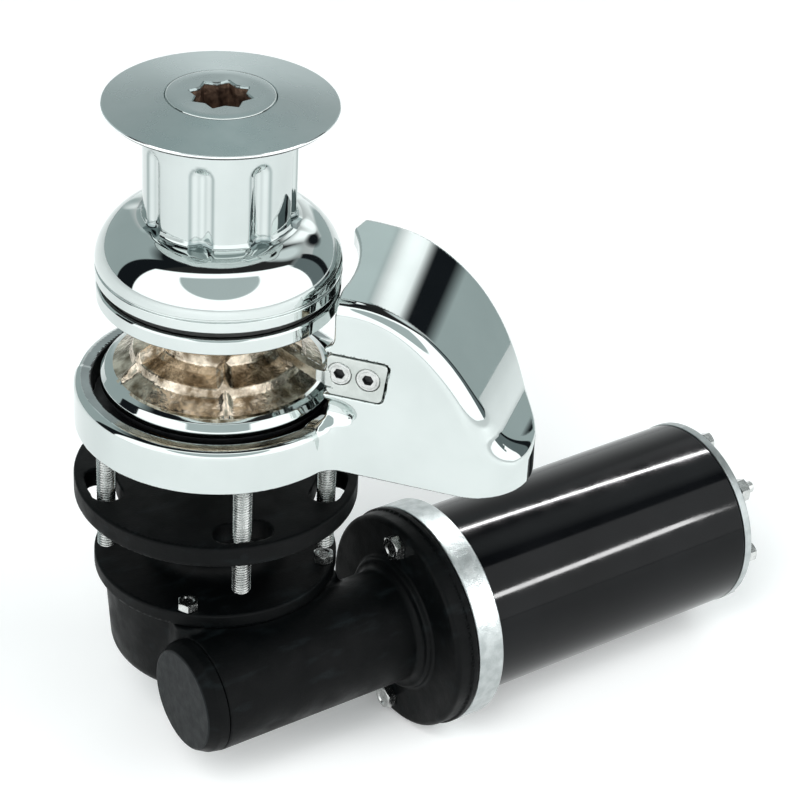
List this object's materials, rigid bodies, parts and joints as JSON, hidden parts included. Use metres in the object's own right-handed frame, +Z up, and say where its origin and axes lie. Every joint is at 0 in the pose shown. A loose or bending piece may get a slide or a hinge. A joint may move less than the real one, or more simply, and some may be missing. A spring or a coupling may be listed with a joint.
{
  "type": "anchor windlass",
  "caption": "Electric vertical anchor windlass: capstan drum over a chain gypsy on a deck base with a chain hood, driven by a worm gearbox and motor below deck.",
  "frame": {"origin": "on the drum's axis, at the underside of the base where it sits on the deck", "axes": "+Z up along the drum's axis; +X along the worm shaft towards the motor"},
  "size_m": [0.2992, 0.1694, 0.2966],
  "materials": {
    "chrome": "polished mirror, satin on the drum's top",
    "cast_nickel": "rough cast and plated, polished on the rims",
    "steel": "plain stainless, machined",
    "aluminium": "satin machined",
    "bronze": "machined bronze",
    "copper": "plain copper alloy",
    "black_casting": "satin black paint on a casting",
    "black_gloss": "gloss black paint",
    "rubber": "matt",
    "ferrite": "matt sintered"
  },
  "bodies": {
    "root": {"base_casting": "chrome", "base_bush": "bronze", "deck_stud_1": "steel", "deck_stud_2": "steel", "deck_stud_3": "steel", "deck_stud_4": "steel", "stripper_arm": "steel", "stripper_screw_1": "steel", "stripper_screw_2": "steel", "deck_flange": "black_casting", "shaft_seal": "rubber", "upper_shaft_bearing": "steel", "lower_shaft_bearing": "steel", "lid_bolt_1": "steel", "lid_bolt_2": "steel", "lid_bolt_3": "steel", "lid_bolt_4": "steel", "gear_case": "black_casting", "worm_end_cap": "black_casting", "worm_end_bearing": "steel", "worm_drive_bearing": "steel", "motor_flange_bolt_1": "steel", "motor_flange_bolt_2": "steel", "motor_front_bell": "aluminium", "motor_front_bearing": "steel", "motor_case": "black_gloss", "motor_end_cap": "aluminium", "motor_rear_bearing": "steel", "tie_bolt_1": "steel", "tie_bolt_2": "steel", "tie_bolt_3": "steel", "tie_bolt_4": "steel", "terminal_1": "copper", "terminal_2": "copper", "magnet_1": "ferrite", "magnet_2": "ferrite", "magnet_3": "ferrite", "magnet_4": "ferrite", "brush_plate": "black_gloss", "brush_1": "ferrite", "brush_2": "ferrite"},
    "shaft": {"main_shaft": "steel", "drum_key": "steel", "wheel_key": "steel", "wheel_circlip": "steel", "lower_clutch_cone": "bronze", "worm_wheel": "bronze"},
    "drum": {"drum": "chrome", "upper_clutch_cone": "rubber"},
    "clutch_nut": {"clutch_nut": "chrome"},
    "gypsy": {"chain_gypsy": "cast_nickel", "gypsy_bush": "bronze"},
    "rotor": {"armature": "steel", "commutator": "copper", "shaft_coupling": "steel", "worm_shaft": "steel"}
  },
  "joints": [
    {"name": "shaft_spin", "type": "hinge", "parent": "root", "child": "shaft", "pos_m": [0, 0, 0], "axis": [0, 0, 1], "continuous": true},
    {"name": "gypsy_spin", "type": "hinge", "parent": "shaft", "child": "gypsy", "pos_m": [0, 0, 0.043], "axis": [0, 0, 1], "continuous": true},
    {"name": "drum_lift", "type": "slide", "parent": "shaft", "child": "drum", "axis": [0, 0, 1], "range_m": [0, 0.0015]},
    {"name": "clutch_nut_turn", "type": "hinge", "parent": "drum", "child": "clutch_nut", "pos_m": [0, 0, 0.145], "axis": [0, 0, 1], "range_deg": [0, 270]},
    {"name": "rotor_spin", "type": "hinge", "parent": "root", "child": "rotor", "pos_m": [0.06, -0.05, -0.09845], "axis": [1, 0, 0], "continuous": true}
  ],
  "couplings": [
    {"joint": "rotor_spin", "follows": "shaft_spin", "ratio": -38},
    {"joint": "clutch_nut_turn", "follows": "drum_lift", "rad_per_m": 3141.6}
  ]
}
